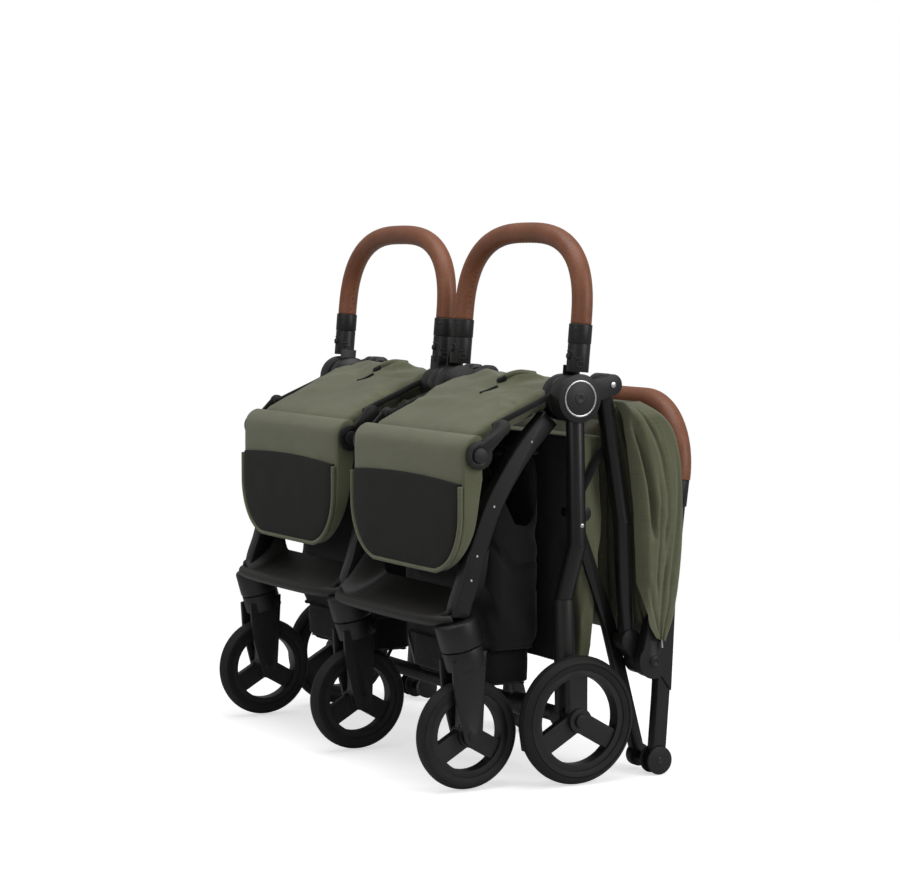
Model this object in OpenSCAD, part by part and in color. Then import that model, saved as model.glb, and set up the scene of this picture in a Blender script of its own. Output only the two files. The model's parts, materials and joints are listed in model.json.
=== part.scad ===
// Twin side-by-side compact stroller, folded and standing on its wheels.
// Side views are drawn as [y, z]: y runs rearwards from the front axles, z up from the floor.

/* [Overall] */
// Distance from the middle to the centre plane of each outer frame
frame_x = 345; // [320:1:390]
// Height of the hub pivots above the floor when folded
hub_h = 524; // [500:1:560]

/* [Wheels] */
// Radius of the front wheels
front_wheel_r = 75; // [65:1:78]
// Radius of the rear wheels
rear_wheel_r = 88; // [75:1:94]
// Width of every tyre
tyre_w = 26; // [20:1:30]
// Radius of the wheel axles
axle_r = 5; // [4:0.5:7]
// Distance from the middle to the outer casters
caster_x = 325; // [305:1:330]

/* [Tubes] */
// Diameter of the rear leg tubes
leg_d = 25; // [20:1:27]
// Diameter of the pusher tubes
pusher_d = 24; // [18:1:24]
// Width of the curved front legs, seen from the side
front_leg_w = 26; // [20:1:30]
// Diameter of the leather grips
grip_d = 28.6; // [24:0.2:30]

/* [Bumper bars] */
// Height of a bumper bar above its hub pivot
bumper_h = 239; // [200:1:280]
// Radius of the bumper bar corners
bumper_corner_r = 122; // [70:1:124]

/* [Seats] */
// Width of a leg rest
leg_rest_w = 324; // [260:1:324]
// Length of a leg rest below its hinge
leg_rest_l = 161; // [120:1:165]
// Thickness of a leg rest plate
leg_rest_t = 12; // [8:1:12]

/* [Hidden] */
$fn = 64;

// clearances
run = 0.05;          // radial play of a pin in its bore
gap = 0.5;           // side play between moving pieces

// pivots, in the side view
hub = [154, hub_h];
pusher_pivot = hub + [54, 17];
fold_joint = [274, 159];
foot = [284, 20];
brace_pivot = [173, 366];
rear_hub = [151, rear_wheel_r];
front_hub = [2, front_wheel_r + 1];
rest_hinge = [4, 452];

// the kingpin leans forward at the top and meets its socket here
king = [-5, 193];
king_lean = 16;

// sizes that follow from each other
grip_r = grip_d / 2;
foot_r = foot[1] - 0.3;
handle_y = 335;
handle_top = 515;
handle_corner_r = 120;
handle_leg_x = frame_x + 13;
lean_y = 0.13;                       // rearward lean of the handlebar, y per z
mid_y = (handle_y + grip_r + front_hub[0] - front_wheel_r) / 2;

// x planes of an outer frame
front_x = caster_x + 1;              // front leg
leg_x = frame_x + 7;                 // rear leg, upper length
sleeve_x = leg_x - 16;               // rear leg, lower length
lower_x = frame_x - 10;              // lower pusher
upper_x = frame_x + 13;              // upper pusher
brace_x = frame_x - 33;              // brace
wheel_x = frame_x + 19;              // rear wheel
bar_x = frame_x + 8;                 // bumper bar leg
housing_w = 26;
beam_r = axle_r + 6;                 // rear axle beam

// x planes of the middle frame
mid_leg_x = 27;
mid_lower_x = -24;
mid_upper_x = -46;
mid_brace_x = 0;
mid_bar_x = 27.4;

upper_w = 16;                        // thickness of an upper pusher
brace_w = 12;
front_leg_t = 22;                    // thickness of a front leg
knuckle_r = 32;
hub_r = 33;
bumper_lean = 5;
socket_r = 15.3;
bumper_plug_r = 7;
socket_top = 73.3;                   // from the hub pivot, along the bar
collar_top = 100;
seat_in = 46;                        // inner and outer edges of a seat
seat_out = front_x - front_leg_t / 2 - 4;
rest_in = frame_x + 7 - leg_rest_w;

black = [0.10, 0.10, 0.10];
olive = [0.34, 0.35, 0.27];
leather = [0.45, 0.27, 0.18];
charcoal = [0.16, 0.15, 0.15];

// ---- helpers ----

// an outline of the side view, made w thick around the plane x
module slab(x, w) translate([x - w / 2, -mid_y, 0]) rotate([90, 0, 90]) linear_extrude(w) children();

// a rod along x from x0 to x1
module rod(x0, x1, p, r) translate([x0, p[0] - mid_y, p[1]]) rotate([0, 90, 0]) cylinder(h = x1 - x0, r = r);

// a straight tube in the plane x from p to q
module tube(x, p, q, r)
    translate([x, p[0] - mid_y, p[1]]) rotate([atan2(p[0] - q[0], q[1] - p[1]), 0, 0])
        cylinder(h = norm(q - p), r = r);

module disc(p, r) translate(p) circle(r = r);

module pair() {
    children();
    mirror([1, 0, 0]) children();
}

// a smooth curve through the points p, as a list of points
function spline(p, n = 4) = [
    for (i = [1 : len(p) - 3], k = [0 : n - 1])
        let (t = k / n, a = p[i - 1], b = p[i], c = p[i + 1], d = p[i + 2])
        0.5 * (2 * b + (c - a) * t + (2 * a - 5 * b + 4 * c - d) * t * t + (3 * b - a - 3 * c + d) * t * t * t)];

// an outline w wide along the curve c
function side_of(c, w) = [
    for (i = [0 : len(c) - 1])
        let (d = c[min(i + 1, len(c) - 1)] - c[max(i - 1, 0)])
        c[i] + w / 2 * [-d[1], d[0]] / norm(d)];
function reversed(l) = [for (i = [len(l) - 1 : -1 : 0]) l[i]];
module ribbon(c, w) polygon(concat(side_of(c, w), reversed(side_of(c, -w))));

// ---- wheels ----

module wheel_tyre(r, rim_r) rotate([0, 90, 0]) rotate_extrude() intersection() {
    translate([rim_r, -tyre_w / 2]) square([r - rim_r, tyre_w]);
    translate([r - tyre_w * 0.7, 0]) circle(r = tyre_w * 0.7);
}

module wheel_rim(rim_r) rotate([0, 90, 0]) difference() {
    union() {
        difference() {
            cylinder(h = tyre_w - 6, r = rim_r, center = true);
            cylinder(h = tyre_w, r = rim_r - 9, center = true);
        }
        cylinder(h = tyre_w - 1, r = 17, center = true);
        for (a = [180, 300, 60]) rotate(a) translate([10, -14, -6]) cube([rim_r - 16, 28, 12]);
    }
    cylinder(h = tyre_w + 2, r = axle_r + run, center = true);
}

module at_front_wheel(x) translate([x, front_hub[0] - mid_y, front_hub[1]]) children();
module at_rear_wheel(x) translate([x, rear_hub[0] - mid_y, rear_hub[1]]) children();
module front_tyre(x) color(black) at_front_wheel(x) wheel_tyre(front_wheel_r, front_wheel_r - 17);
module front_rim(x) color(charcoal) at_front_wheel(x) wheel_rim(front_wheel_r - 17);
module rear_tyre(x) color(black) at_rear_wheel(x) wheel_tyre(rear_wheel_r, rear_wheel_r - 19);
module rear_rim(x) color(charcoal) at_rear_wheel(x) wheel_rim(rear_wheel_r - 19);

// ---- rear frame ----

module bracket_arm() {
    ribbon([hub, pusher_pivot], 27);
    disc(pusher_pivot, 14.5);
}

module hub_housings() color(black) {
    pair() {
        difference() {
            union() {
                slab(frame_x + 8, housing_w) disc(hub, hub_r);
                slab(frame_x + 11, 14) bracket_arm();
            }
            tube(leg_x, hub - [0, 60], hub, leg_d / 2);
        }
        rod(lower_x - pusher_d / 2, frame_x + 5, pusher_pivot, 5);
    }
    difference() {
        union() {
            slab(mid_leg_x, 25) disc(hub, hub_r);
            slab(mid_leg_x - 5, 14) bracket_arm();
        }
        tube(mid_leg_x, hub - [0, 60], hub, leg_d / 2);
    }
    rod(mid_lower_x + pusher_d / 2 + 1 + gap, mid_leg_x - 6, pusher_pivot, 11);
    rod(mid_lower_x - pusher_d / 2, mid_leg_x, pusher_pivot, 5);
}

module hub_caps() color(charcoal) pair() slab(frame_x + 21.7, 1.4) disc(hub, 22);

module hub_rings() color("silver") pair() slab(frame_x + 22, 2) difference() {
    disc(hub, 25);
    disc(hub, 22.3);
}

bend_top = [158, 325];
bend_low = [147, 250];

module rear_legs() color(black) {
    pair() {
        tube(leg_x, bend_top, hub, leg_d / 2);
        translate([leg_x, bend_top[0] - mid_y, bend_top[1]]) sphere(d = leg_d + 0.6);
        bend_link();
        translate([sleeve_x, bend_low[0] - mid_y, bend_low[1]]) sphere(d = leg_d + 0.6);
        rod(brace_x + brace_w / 2 + gap, leg_x - 5, brace_pivot, 11);
        rod(brace_x - brace_w / 2, leg_x - 12, brace_pivot, 5);
    }
    tube(mid_leg_x, rear_hub, hub, leg_d / 2);
    rod(mid_brace_x + brace_w / 2 + gap, mid_leg_x - 5, brace_pivot, 11);
    rod(mid_brace_x - brace_w / 2, mid_leg_x - 5, brace_pivot, 5);
}

// the slanted length that carries the leg from its upper to its lower plane
module bend_link() {
    run_x = leg_x - sleeve_x;
    run_v = bend_top - bend_low;
    length = norm([run_x, run_v[0], run_v[1]]);
    translate([sleeve_x, bend_low[0] - mid_y, bend_low[1]])
        rotate([0, acos(run_v[1] / length), atan2(run_v[0], run_x)]) cylinder(h = length, d = leg_d);
}

// each sleeve holds the end of its leg tube
module leg_sleeves() color(black) pair() difference() {
    union() {
        tube(sleeve_x, rear_hub, bend_low, leg_d / 2 + 2);
        rod(sleeve_x - 14, sleeve_x + 12, rear_hub, 17);
    }
    rod(sleeve_x - 20, sleeve_x + 20, rear_hub, beam_r);
}

module rear_axle() color(black) difference() {
    union() {
        rod(-sleeve_x - 12, sleeve_x + 12, rear_hub, beam_r);
        rod(-wheel_x - tyre_w / 2, wheel_x + tyre_w / 2, rear_hub, axle_r);
        pair() rod(wheel_x + tyre_w / 2 + 0.3, wheel_x + tyre_w / 2 + 3, rear_hub, 9);
    }
    tube(mid_leg_x, rear_hub, hub, leg_d / 2);
}

module frame_screws() color("silver") pair() {
    rod(frame_x + 18.1, frame_x + 19.6, pusher_pivot, 4);
    rod(leg_x + leg_d / 2 - 1, leg_x + leg_d / 2 + 0.6, [159, 352], 3);
}

// a fabric basket, open at the top
module basket(x0, x1) color(black) difference() {
    union() {
        translate([x0, 45 - mid_y, 178]) cube([x1 - x0, 92, 272]);
        translate([x0 + 62, 52 - mid_y, 128]) cube([x1 - x0 - 76, 78, 51]);
    }
    translate([x0 + 4, 49 - mid_y, 183]) cube([x1 - x0 - 8, 84, 290]);
    translate([x0 + 66, 56 - mid_y, 132]) cube([x1 - x0 - 84, 70, 60]);
}

module back_sling(x0) color(olive)
    translate([x0, 172 - mid_y, 190]) cube([seat_out - 8 - x0, 54, 280]);

module brake_pedal() color(charcoal) difference() {
    union() {
        rod(205, 245, rear_hub, beam_r + 5);
        slab(225, 40) ribbon([rear_hub + [2, -12], [162, 18]], 9);
    }
    rod(200, 250, rear_hub, beam_r + run);
}

// ---- front frame ----

front_curve = spline([
    [140, 512], [127, 497], [91, 460], [62, 421], [38, 381], [22, 342], [10, 309], [1, 277], [-9, 250],
    [-13, 228], [-15, 205]]);

module front_legs() color(black) for (x = [-front_x, 0, front_x]) difference() {
    union() {
        slab(x, front_leg_t) disc(hub, knuckle_r);
        slab(x, front_leg_t) ribbon(front_curve, front_leg_w);
    }
    caster_socket(x == 0 ? 0 : sign(x) * caster_x, 0);
}

// place things along the kingpin: up is +z, the joint face is z = 0
module on_king(x) translate([x, king[0] - mid_y, king[1]]) rotate([king_lean, 0, 0]) children();

module caster_socket(x, bore) on_king(x) difference() {
    translate([0, 0, gap]) cylinder(h = 38, r = 29);
    translate([0, 0, -1]) cylinder(h = 24, r = bore);
}

module caster_sockets() color(black) for (x = [-caster_x, 0, caster_x]) caster_socket(x, 8 + run);

module fork(x) color(black) {
    blade_in = tyre_w / 2 + 1.5;
    blade_t = 6;
    on_king(x) {
        translate([0, 0, -26]) cylinder(h = 26, r = 28);
        cylinder(h = 21, r = 8);
    }
    for (s = [-1, 1]) {
        slab(x + s * (blade_in + blade_t / 2), blade_t) {
            polygon([[-29, 176], [22, 190], [20, 150], front_hub + [14, 0], front_hub - [14, 0], [-26, 130]]);
            disc(front_hub, 14);
        }
        slab(x + s * (blade_in + blade_t + 1), 2) disc(front_hub, 7);
    }
    rod(x - blade_in - 1, x + blade_in + 1, front_hub, axle_r);
}

// a moulded footrest tray between two front legs
tray_front = -44;
module footrest(x0, x1) color(charcoal) {
    bow = 8;
    half = (x1 - x0) / 2;
    bow_r = (half * half + bow * bow) / (2 * bow);
    difference() {
        translate([x0, tray_front - bow - mid_y, 228]) cube([x1 - x0, 34 - tray_front + bow, 14]);
        translate([x0 + 12, tray_front + 12 - mid_y, 236]) cube([x1 - x0 - 24, 34 - tray_front, 20]);
        difference() {
            translate([x0 - 1, tray_front - bow - 1 - mid_y, 220]) cube([x1 - x0 + 2, bow + 1, 40]);
            translate([(x0 + x1) / 2, tray_front - bow + bow_r - mid_y, 210]) cylinder(h = 60, r = bow_r, $fn = 200);
        }
        for (x = [-caster_x, 0, caster_x]) on_king(x) translate([0, 0, -20]) cylinder(h = 70, r = 29.3);
        for (x = [-front_x, 0, front_x]) slab(x, front_leg_t + 0.6) ribbon(front_curve, front_leg_w + 0.6);
    }
}

// ---- pusher ----

pusher_low = [250, 187];
pusher_bend = [241, 350];

module lower_pusher(x) difference() {
    union() {
        slab(x, pusher_d + 2) disc(pusher_pivot, 15);
        tube(x, pusher_bend, pusher_pivot, pusher_d / 2);
        translate([x, pusher_bend[0] - mid_y, pusher_bend[1]]) sphere(d = pusher_d + 0.6);
        tube(x, pusher_low, pusher_bend, pusher_d / 2);
    }
    rod(x - 20, x + 20, pusher_pivot, 5 + run);
}

module lower_pushers() color(black) for (x = [-lower_x, mid_lower_x, lower_x]) lower_pusher(x);

// the moulded ends of the lower pushers, which the upper pushers turn in
module pusher_ends() color(black) for (x = [-lower_x, mid_lower_x, lower_x]) difference() {
    slab(x, pusher_d + 2) {
        ribbon([pusher_low, fold_joint], 29);
        disc(pusher_low, 15.5);
        disc(fold_joint, 21);
    }
    rod(x - 20, x + 20, fold_joint, 6 + run);
}

module backrest(x0) color(olive)
    translate([x0, 230 - mid_y, 215]) cube([seat_out - 8 - x0, 22, 285]);

upper_end = [318, 398];
upper_turn = [299, 234];
middle_end = [331, 498];
joint_plate = [[254, 166], [266, 214], [288, 240], [308, 238], [302, 116], [286, 138]];

module upper_bar(x) {
    slab(x, upper_w) {
        disc(fold_joint, 23);
        polygon(joint_plate);
        disc(foot, 13);
        ribbon([foot, [291, 114], [294, 180], upper_turn, x == mid_upper_x ? middle_end : upper_end], 20);
    }
    inner = x > 0 ? -1 : 1;
    rod(min(x, x + inner * (upper_x - lower_x + pusher_d / 2)), max(x, x + inner * (upper_x - lower_x + pusher_d / 2)),
        fold_joint, 6);
    rod(min(x, x + inner * (upper_x - brace_x - brace_w / 2 - gap)),
        max(x, x + inner * (upper_x - brace_x - brace_w / 2 - gap)), foot, 6);
}

module upper_pushers() color(black) {
    pair() upper_bar(upper_x);
    upper_bar(mid_upper_x);
}

module joint_housings() color(charcoal) pair() {
    slab(upper_x + upper_w / 2 + 1.6, 3) {
        disc(fold_joint, 24.5);
        polygon(joint_plate);
    }
    slab(upper_x + upper_w / 2 + 4.1, 2) disc(fold_joint, 8);
}

module pusher_feet() color(black) difference() {
    union() {
        pair() rod(upper_x + upper_w / 2, upper_x + upper_w / 2 + 3, foot, foot_r);
        pair() rod(upper_x - upper_w / 2 - 3, upper_x - upper_w / 2, foot, foot_r);
        rod(mid_upper_x - upper_w / 2 - 3, mid_upper_x - upper_w / 2, foot, foot_r);
    }
    pair() rod(0, upper_x, foot, 6 + run);
}

// place things in the leaning plane of the handlebar, centred on the crossbar
module on_handle() translate([0, handle_y - mid_y, handle_top]) rotate([-atan(lean_y), 0, 0]) children();

// an upright hoop with round corners: its crossbar is at z = 0 and its legs run down by drop
module hoop(half, corner_r, drop, r) {
    for (s = [-1, 1]) {
        translate([s * half, 0, -drop]) cylinder(h = drop - corner_r, r = r);
        translate([s * (half - corner_r), 0, -corner_r]) rotate([90, 0, 0])
            rotate([0, 0, s > 0 ? 0 : 90]) rotate_extrude(angle = 90) translate([corner_r, 0]) circle(r = r);
    }
    translate([-half + corner_r, 0, 0]) rotate([0, 90, 0]) cylinder(h = 2 * (half - corner_r), r = r);
}

handle_drop = 108;
module handlebar() color(leather) difference() {
    on_handle() {
        hoop(handle_leg_x, min(handle_corner_r, handle_drop - 2), handle_drop, grip_r);
    }
    on_handle() translate([0, 0, -30]) cylinder(h = 40, r = 9);
}

module handle_sleeves() color(black) {
    on_handle() for (s = [-1, 1]) translate([s * handle_leg_x, 0, -handle_drop - 37]) cylinder(h = 37, r = grip_r - 1);
}

module fold_button() color(charcoal) on_handle() translate([0, 0, -26]) cylinder(h = 28, r = 8.6);

module canopy(x0, x1) color(olive) translate([x0, -mid_y, 0]) rotate([90, 0, 90]) linear_extrude(x1 - x0)
    polygon([[262, 205], [262, 300], [258, 400], [252, 500], [262, 520], [284, 518], [300, 490], [306, 440],
        [304, 350], [298, 280], [289, 205]]);

module braces() color(black) difference() {
    for (x = [-brace_x, mid_brace_x, brace_x]) slab(x, brace_w) {
        disc(brace_pivot, 12);
        ribbon([brace_pivot, [235, 203], foot], 18);
        disc(foot, 16);
    }
    for (x = [-brace_x, mid_brace_x, brace_x]) rod(x - 20, x + 20, brace_pivot, 5 + run);
}

// ---- seats ----

seat_front = [[20, 455], [4, 480], [12, 502], [50, 524], [50, 470]];

module seat(s) color(olive) difference() {
    union() {
        slab(s * (seat_in + seat_out) / 2, seat_out - seat_in)
            polygon([[20, 455], [4, 480], [12, 502], [52, 530], [115, 543], [178, 546], [178, 512], [120, 500]]);
        slab(s * (rest_in + frame_x + 7) / 2, leg_rest_w - 20) polygon(seat_front);
    }
    rod(-500, 500, rest_hinge, 27);
}

arm_end = [40, 488];

module hinge_arm() {
    disc(rest_hinge, 19);
    ribbon([rest_hinge, arm_end], 19);
    disc(arm_end, 10.5);
}

module seat_hinges() color(black) pair() difference() {
    union() {
        slab(frame_x + 10.5, 6) hinge_arm();
        slab(frame_x + 2.5, 11) disc(arm_end, 9);
        slab(rest_in - 3.5, 6) hinge_arm();
        slab(rest_in + 4.5, 11) disc(arm_end, 9);
    }
    rod(-500, 500, rest_hinge, 10 + run);
    slab(rest_in + (leg_rest_w) / 2, leg_rest_w - 20) polygon(seat_front);
}

module leg_rest(s) color(olive) {
    corner_r = 80;
    low = rest_hinge[1] - leg_rest_l;
    x_mid = s * (rest_in + frame_x + 7) / 2;
    translate([x_mid, -20 - mid_y, 0]) rotate([-90, 0, 0]) mirror([0, 1, 0]) linear_extrude(leg_rest_t) {
        translate([-leg_rest_w / 2, low + corner_r]) square([leg_rest_w, leg_rest_l - corner_r]);
        translate([-leg_rest_w / 2 + corner_r, low]) square([leg_rest_w - 2 * corner_r, leg_rest_l]);
        for (t = [-1, 1]) translate([t * (leg_rest_w / 2 - corner_r), low + corner_r]) circle(r = corner_r);
    }
    slab(x_mid, leg_rest_w) difference() {
        union() {
            disc(rest_hinge, 26);
            translate([-20, 372]) square([28, rest_hinge[1] - 372]);
        }
        disc(rest_hinge, 12);
    }
}

// release buttons in the leg rest hinges, numbered from the right
module rest_button(x, s) color(charcoal) rod(min(x, x + s * 6), max(x, x + s * 6), rest_hinge, 10);

// ---- bumper bars ----

module on_bumper(x = 0) translate([x, hub[0] - mid_y, hub[1]]) rotate([-bumper_lean, 0, 0]) children();

// a bumper bar's socket at x, on a plate or hub from x0 to x1 that turns about the hub pivot
module bumper_socket(x, x0, x1) on_bumper() difference() {
    union() {
        translate([x, 0, hub_r + 2.5]) cylinder(h = socket_top - hub_r - 2.5, r = socket_r);
        translate([x0, 0, 0]) rotate([0, 90, 0]) cylinder(h = x1 - x0, r = 28);
        translate([x0, -13, 0]) cube([x1 - x0, 26, 44]);
    }
    translate([x, 0, socket_top - 28]) cylinder(h = 40, r = bumper_plug_r + run);
    translate([x, -8.1, 56]) rotate([90, 0, 0]) cylinder(h = 12, r = 4 + run);
}

module bumper_sockets() color(black) {
    pair() bumper_socket(bar_x, frame_x - 8, frame_x - 5.8);
    bumper_socket(mid_bar_x, 11.6, 13.9);
    bumper_socket(-mid_bar_x, -39, -15);
}

module bumper_collars(s) color(black) for (x = [mid_bar_x, bar_x]) on_bumper(s * x) {
    translate([0, 0, socket_top + 0.2]) cylinder(h = collar_top - socket_top - 0.2, r = socket_r + 0.6);
    translate([0, 0, socket_top - 26]) cylinder(h = 30, r = bumper_plug_r);
}

module bumper_grip(s) color(leather)
    on_bumper(s * (bar_x + mid_bar_x) / 2) translate([0, 0, bumper_h - grip_r])
        hoop((bar_x - mid_bar_x) / 2, bumper_corner_r, bumper_h - grip_r - collar_top, grip_r);

module bumper_button(x) color(charcoal) on_bumper(x)
    translate([0, -10.5, 56]) rotate([90, 0, 0]) cylinder(h = 7, r = 4);

hub_housings();
hub_caps();
hub_rings();
rear_legs();
leg_sleeves();
rear_axle();
frame_screws();
basket(seat_in, seat_out - 8);  // basket_right
mirror([1, 0, 0]) basket(seat_in, seat_out - 8);  // basket_left
back_sling(seat_in);  // back_sling_right
mirror([1, 0, 0]) back_sling(seat_in + 14);  // back_sling_left
rear_tyre(wheel_x);  // rear_tyre_right
rear_rim(wheel_x);  // rear_rim_right
rear_tyre(-wheel_x);  // rear_tyre_left
rear_rim(-wheel_x);  // rear_rim_left
front_legs();
caster_sockets();
footrest(front_leg_t / 2 + 0.3, front_x - front_leg_t / 2 - 0.3);  // footrest_right
mirror([1, 0, 0]) footrest(front_leg_t / 2 + 0.3, front_x - front_leg_t / 2 - 0.3);  // footrest_left
fork(caster_x);  // fork_right
fork(0);  // fork_middle
fork(-caster_x);  // fork_left
front_tyre(caster_x);  // front_tyre_right
front_rim(caster_x);  // front_rim_right
front_tyre(0);  // front_tyre_middle
front_rim(0);  // front_rim_middle
front_tyre(-caster_x);  // front_tyre_left
front_rim(-caster_x);  // front_rim_left
lower_pushers();
pusher_ends();
backrest(seat_in);  // backrest_right
mirror([1, 0, 0]) backrest(seat_in + 14);  // backrest_left
upper_pushers();
joint_housings();
pusher_feet();
handle_sleeves();
handlebar();
fold_button();
canopy(seat_in, frame_x - 0.5);  // canopy_right
mirror([1, 0, 0]) canopy(seat_in + 14, frame_x - 0.5);  // canopy_left
braces();
seat(1);  // seat_right
seat(-1);  // seat_left
seat_hinges();
leg_rest(1);  // leg_rest_right
leg_rest(-1);  // leg_rest_left
rest_button(frame_x + 16.6, -1);  // rest_button_1
rest_button(rest_in - 9.5, 1);  // rest_button_2
rest_button(-rest_in + 9.5, -1);  // rest_button_3
rest_button(-frame_x - 16.6, 1);  // rest_button_4
bumper_sockets();
bumper_collars(1);  // bumper_collars_right
bumper_grip(1);  // bumper_grip_right
bumper_collars(-1);  // bumper_collars_left
bumper_grip(-1);  // bumper_grip_left
bumper_button(bar_x);  // bumper_button_1
bumper_button(mid_bar_x);  // bumper_button_2
bumper_button(-mid_bar_x);  // bumper_button_3
bumper_button(-bar_x);  // bumper_button_4
brake_pedal();
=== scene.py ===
# %% [markdown]
# A twin compact stroller, folded up and standing on its wheels. The imported model is a fixed frame: every piece made
# here rides on one of its bodies, in metres, in the same place. The first cell loads it and defines helpers that
# measure boxes.

import json
import math

import bpy
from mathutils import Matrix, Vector, noise


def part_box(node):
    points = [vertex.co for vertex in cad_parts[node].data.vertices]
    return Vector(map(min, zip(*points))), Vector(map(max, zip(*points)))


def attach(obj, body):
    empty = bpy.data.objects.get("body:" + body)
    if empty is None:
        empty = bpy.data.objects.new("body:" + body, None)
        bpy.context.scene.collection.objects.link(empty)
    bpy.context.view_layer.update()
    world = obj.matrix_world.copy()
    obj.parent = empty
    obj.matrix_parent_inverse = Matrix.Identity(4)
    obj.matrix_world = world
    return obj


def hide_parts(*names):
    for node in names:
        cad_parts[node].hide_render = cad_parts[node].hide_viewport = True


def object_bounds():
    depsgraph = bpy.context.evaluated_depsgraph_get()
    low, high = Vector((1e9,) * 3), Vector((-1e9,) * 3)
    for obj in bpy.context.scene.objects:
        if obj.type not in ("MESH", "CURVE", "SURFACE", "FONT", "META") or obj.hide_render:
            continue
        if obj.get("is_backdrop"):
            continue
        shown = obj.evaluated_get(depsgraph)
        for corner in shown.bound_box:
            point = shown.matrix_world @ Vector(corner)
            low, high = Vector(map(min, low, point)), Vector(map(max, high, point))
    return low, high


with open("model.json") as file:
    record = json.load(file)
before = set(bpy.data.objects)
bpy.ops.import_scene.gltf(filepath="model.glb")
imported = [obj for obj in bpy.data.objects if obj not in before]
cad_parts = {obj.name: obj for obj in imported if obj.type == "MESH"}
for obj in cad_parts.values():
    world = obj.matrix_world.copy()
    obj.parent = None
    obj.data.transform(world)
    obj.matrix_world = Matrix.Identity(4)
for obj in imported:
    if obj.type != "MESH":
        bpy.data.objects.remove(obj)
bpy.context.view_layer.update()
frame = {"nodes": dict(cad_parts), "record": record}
scene = bpy.context.scene

# %% [markdown]
# Side views of the frame are drawn in millimetres, from the front axles and the floor. One helper turns such a point
# into a place in metres, so that the numbers below read like a maker's drawing.

# %% Places in the side view
MID_Y = 138.15
HUB = (154, 524)
FOLD = (274, 159)
SIDES = {"right": 1, "left": -1}


def at(x, y, z):
    return Vector((x, y - MID_Y, z)) / 1000


# %% [markdown]
# The camera stands to the right of the front and a little above the hubs, with a long lens, so the frame's lines stay
# nearly parallel.

# %% Camera
CAMERA_TILT = math.radians(90 - 4.2104)
CAMERA_TURN = math.radians(61.2365)
bpy.ops.object.camera_add(location=at(3260, -1634, 711), rotation=(CAMERA_TILT, 0, CAMERA_TURN))
camera = bpy.context.object
camera.data.lens = 101.33
camera.data.sensor_width = 36
camera.data.sensor_fit = "HORIZONTAL"
scene.camera = camera
print("lens:", camera.data.lens)

# %% [markdown]
# A white room with large soft lamps gives pale, even light. One long lamp from above draws the soft highlights along
# tubes and tyres, and one at the camera's side fills the dark plastics.

# %% Room and lamps
world = bpy.data.worlds.new("white_room")
scene.world = world
world.use_nodes = True
nodes, links = world.node_tree.nodes, world.node_tree.links
room = nodes["Background"]
room.inputs["Color"].default_value = (1, 1, 1, 1)
seen = nodes.new("ShaderNodeBackground")
seen.inputs["Color"].default_value = (1, 1, 1, 1)
ROOM_LIGHT = 0.34
room.inputs["Strength"].default_value = ROOM_LIGHT
ray = nodes.new("ShaderNodeLightPath")
either = nodes.new("ShaderNodeMixShader")
links.new(ray.outputs["Is Camera Ray"], either.inputs[0])
links.new(room.outputs[0], either.inputs[1])
links.new(seen.outputs[0], either.inputs[2])
links.new(either.outputs[0], nodes["World Output"].inputs["Surface"])
scene.view_settings.view_transform = "Standard"


def lamp(name, place, target, size, power):
    bpy.ops.object.light_add(type="AREA", location=place)
    light = bpy.context.object
    light.name = name
    light.data.shape = "RECTANGLE"
    light.data.size, light.data.size_y = size
    light.data.energy = power
    light.rotation_euler = (Vector(target) - Vector(place)).to_track_quat("-Z", "Y").to_euler()
    return light


lamp("top_lamp", (0.2, -0.2, 2.5), (0, 0, 0.3), (2.4, 1.6), 33)
lamp("side_lamp", (2.4, 1.3, 1.5), (0, 0, 0.35), (1.0, 1.6), 26)
lamp("front_lamp", (0.9, -2.8, 1.5), (0, 0, 0.4), (1.4, 1.0), 9)

# %% [markdown]
# Material maths reads best as plain sums. A Wire holds one socket, and sums on it add Math nodes. A Finish is one
# material: its node method adds any other node, with settings first and then the values or wires of its sockets.

# %% Wires and finishes


class Wire:
    def __init__(self, finish, socket):
        self.finish, self.socket = finish, socket

    def math(self, operation, *values):
        return self.finish.node("ShaderNodeMath", {"operation": operation}, dict(enumerate(values)))

    def __add__(self, other):
        return self.math("ADD", self, other)

    def __mul__(self, other):
        return self.math("MULTIPLY", self, other)

    def __sub__(self, other):
        return self.math("SUBTRACT", self, other)

    def __rsub__(self, other):
        return self.math("SUBTRACT", other, self)

    def sine(self):
        return self.math("SINE", self)

    def clamp(self, low, high):
        return self.finish.node("ShaderNodeMapRange", {"clamp": True}, {0: self, 1: low, 2: high, 3: 0.0, 4: 1.0})

    __radd__ = __add__
    __rmul__ = __mul__


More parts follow.
